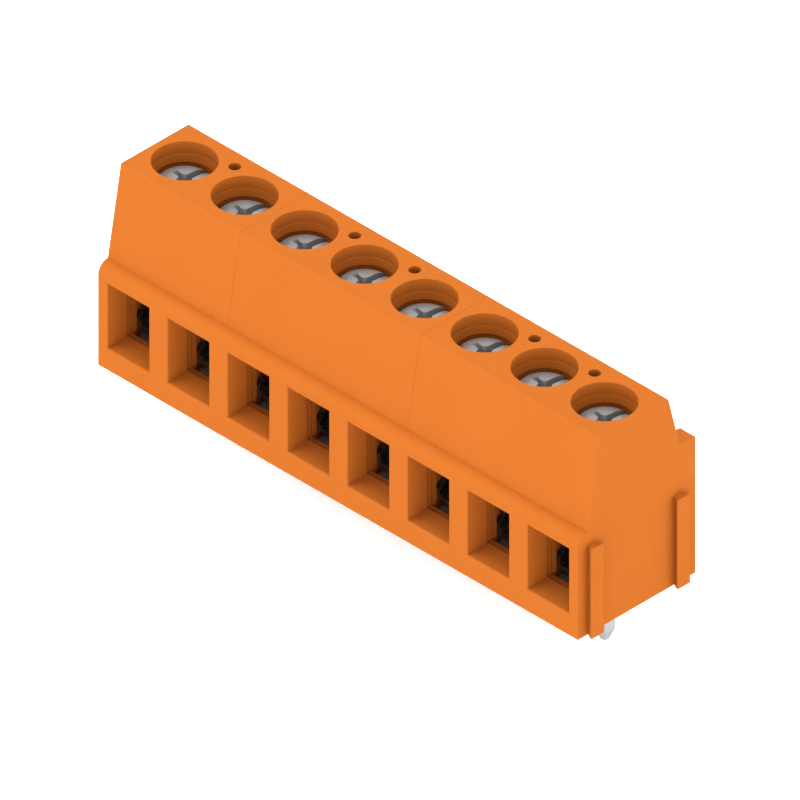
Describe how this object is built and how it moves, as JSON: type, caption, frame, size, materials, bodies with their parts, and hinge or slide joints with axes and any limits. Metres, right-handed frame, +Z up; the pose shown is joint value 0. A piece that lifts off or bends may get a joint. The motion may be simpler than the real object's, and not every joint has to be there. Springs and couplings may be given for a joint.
{
  "type": "pcb terminal block",
  "caption": "Screw clamp terminal block for a circuit board: orange housing with wire funnels in front, screwdriver wells on top and solder pins below.",
  "frame": {"origin": "middle of the row of poles, on the row of solder pins, at the underside of the housing where it sits on the circuit board", "axes": "+X along the row of poles, +Y to the rear away from the wire entries, +Z up away from the board"},
  "size_m": [0.0411, 0.01, 0.0173],
  "materials": {
    "orange_polyamide": "moulded orange polyamide, satin",
    "zinc_plated_steel": "zinc plated, bright",
    "yoke_steel": "plated strap steel, satin",
    "tinned_copper": "tin plated copper alloy, satin"
  },
  "bodies": {
    "block": {"housing_two_pole_left": "orange_polyamide", "housing_three_pole_middle": "orange_polyamide", "housing_three_pole_right": "orange_polyamide", "current_bar_1": "tinned_copper", "current_bar_2": "tinned_copper", "current_bar_3": "tinned_copper", "current_bar_4": "tinned_copper", "current_bar_5": "tinned_copper", "current_bar_6": "tinned_copper", "current_bar_7": "tinned_copper", "current_bar_8": "tinned_copper"},
    "screw_1": {"clamping_screw_1": "zinc_plated_steel"},
    "yoke_1": {"clamping_yoke_1": "yoke_steel"},
    "screw_2": {"clamping_screw_2": "zinc_plated_steel"},
    "yoke_2": {"clamping_yoke_2": "yoke_steel"},
    "screw_3": {"clamping_screw_3": "zinc_plated_steel"},
    "yoke_3": {"clamping_yoke_3": "yoke_steel"},
    "screw_4": {"clamping_screw_4": "zinc_plated_steel"},
    "yoke_4": {"clamping_yoke_4": "yoke_steel"},
    "screw_5": {"clamping_screw_5": "zinc_plated_steel"},
    "yoke_5": {"clamping_yoke_5": "yoke_steel"},
    "screw_6": {"clamping_screw_6": "zinc_plated_steel"},
    "yoke_6": {"clamping_yoke_6": "yoke_steel"},
    "screw_7": {"clamping_screw_7": "zinc_plated_steel"},
    "yoke_7": {"clamping_yoke_7": "yoke_steel"},
    "screw_8": {"clamping_screw_8": "zinc_plated_steel"},
    "yoke_8": {"clamping_yoke_8": "yoke_steel"}
  },
  "joints": [
    {"name": "yoke_1_lift", "type": "slide", "parent": "block", "child": "yoke_1", "axis": [0, 0, 1], "range_m": [-0.00045, 0.00215]},
    {"name": "screw_1_turn", "type": "hinge", "parent": "block", "child": "screw_1", "pos_m": [-0.01778, 0, 0.0125], "axis": [0, 0, 1], "range_deg": [-1721, 361]},
    {"name": "yoke_2_lift", "type": "slide", "parent": "block", "child": "yoke_2", "axis": [0, 0, 1], "range_m": [-0.00045, 0.00215]},
    {"name": "screw_2_turn", "type": "hinge", "parent": "block", "child": "screw_2", "pos_m": [-0.0127, 0, 0.0125], "axis": [0, 0, 1], "range_deg": [-1721, 361]},
    {"name": "yoke_3_lift", "type": "slide", "parent": "block", "child": "yoke_3", "axis": [0, 0, 1], "range_m": [-0.00045, 0.00215]},
    {"name": "screw_3_turn", "type": "hinge", "parent": "block", "child": "screw_3", "pos_m": [-0.00762, 0, 0.0125], "axis": [0, 0, 1], "range_deg": [-1721, 361]},
    {"name": "yoke_4_lift", "type": "slide", "parent": "block", "child": "yoke_4", "axis": [0, 0, 1], "range_m": [-0.00045, 0.00215]},
    {"name": "screw_4_turn", "type": "hinge", "parent": "block", "child": "screw_4", "pos_m": [-0.00254, 0, 0.0125], "axis": [0, 0, 1], "range_deg": [-1721, 361]},
    {"name": "yoke_5_lift", "type": "slide", "parent": "block", "child": "yoke_5", "axis": [0, 0, 1], "range_m": [-0.00045, 0.00215]},
    {"name": "screw_5_turn", "type": "hinge", "parent": "block", "child": "screw_5", "pos_m": [0.00254, 0, 0.0125], "axis": [0, 0, 1], "range_deg": [-1721, 361]},
    {"name": "yoke_6_lift", "type": "slide", "parent": "block", "child": "yoke_6", "axis": [0, 0, 1], "range_m": [-0.00045, 0.00215]},
    {"name": "screw_6_turn", "type": "hinge", "parent": "block", "child": "screw_6", "pos_m": [0.00762, 0, 0.0125], "axis": [0, 0, 1], "range_deg": [-1721, 361]},
    {"name": "yoke_7_lift", "type": "slide", "parent": "block", "child": "yoke_7", "axis": [0, 0, 1], "range_m": [-0.00045, 0.00215]},
    {"name": "screw_7_turn", "type": "hinge", "parent": "block", "child": "screw_7", "pos_m": [0.0127, 0, 0.0125], "axis": [0, 0, 1], "range_deg": [-1721, 361]},
    {"name": "yoke_8_lift", "type": "slide", "parent": "block", "child": "yoke_8", "axis": [0, 0, 1], "range_m": [-0.00045, 0.00215]},
    {"name": "screw_8_turn", "type": "hinge", "parent": "block", "child": "screw_8", "pos_m": [0.01778, 0, 0.0125], "axis": [0, 0, 1], "range_deg": [-1721, 361]}
  ],
  "couplings": [
    {"joint": "screw_1_turn", "follows": "yoke_1_lift", "rad_per_m": -13963},
    {"joint": "screw_2_turn", "follows": "yoke_2_lift", "rad_per_m": -13963},
    {"joint": "screw_3_turn", "follows": "yoke_3_lift", "rad_per_m": -13963},
    {"joint": "screw_4_turn", "follows": "yoke_4_lift", "rad_per_m": -13963},
    {"joint": "screw_5_turn", "follows": "yoke_5_lift", "rad_per_m": -13963},
    {"joint": "screw_6_turn", "follows": "yoke_6_lift", "rad_per_m": -13963},
    {"joint": "screw_7_turn", "follows": "yoke_7_lift", "rad_per_m": -13963},
    {"joint": "screw_8_turn", "follows": "yoke_8_lift", "rad_per_m": -13963}
  ]
}
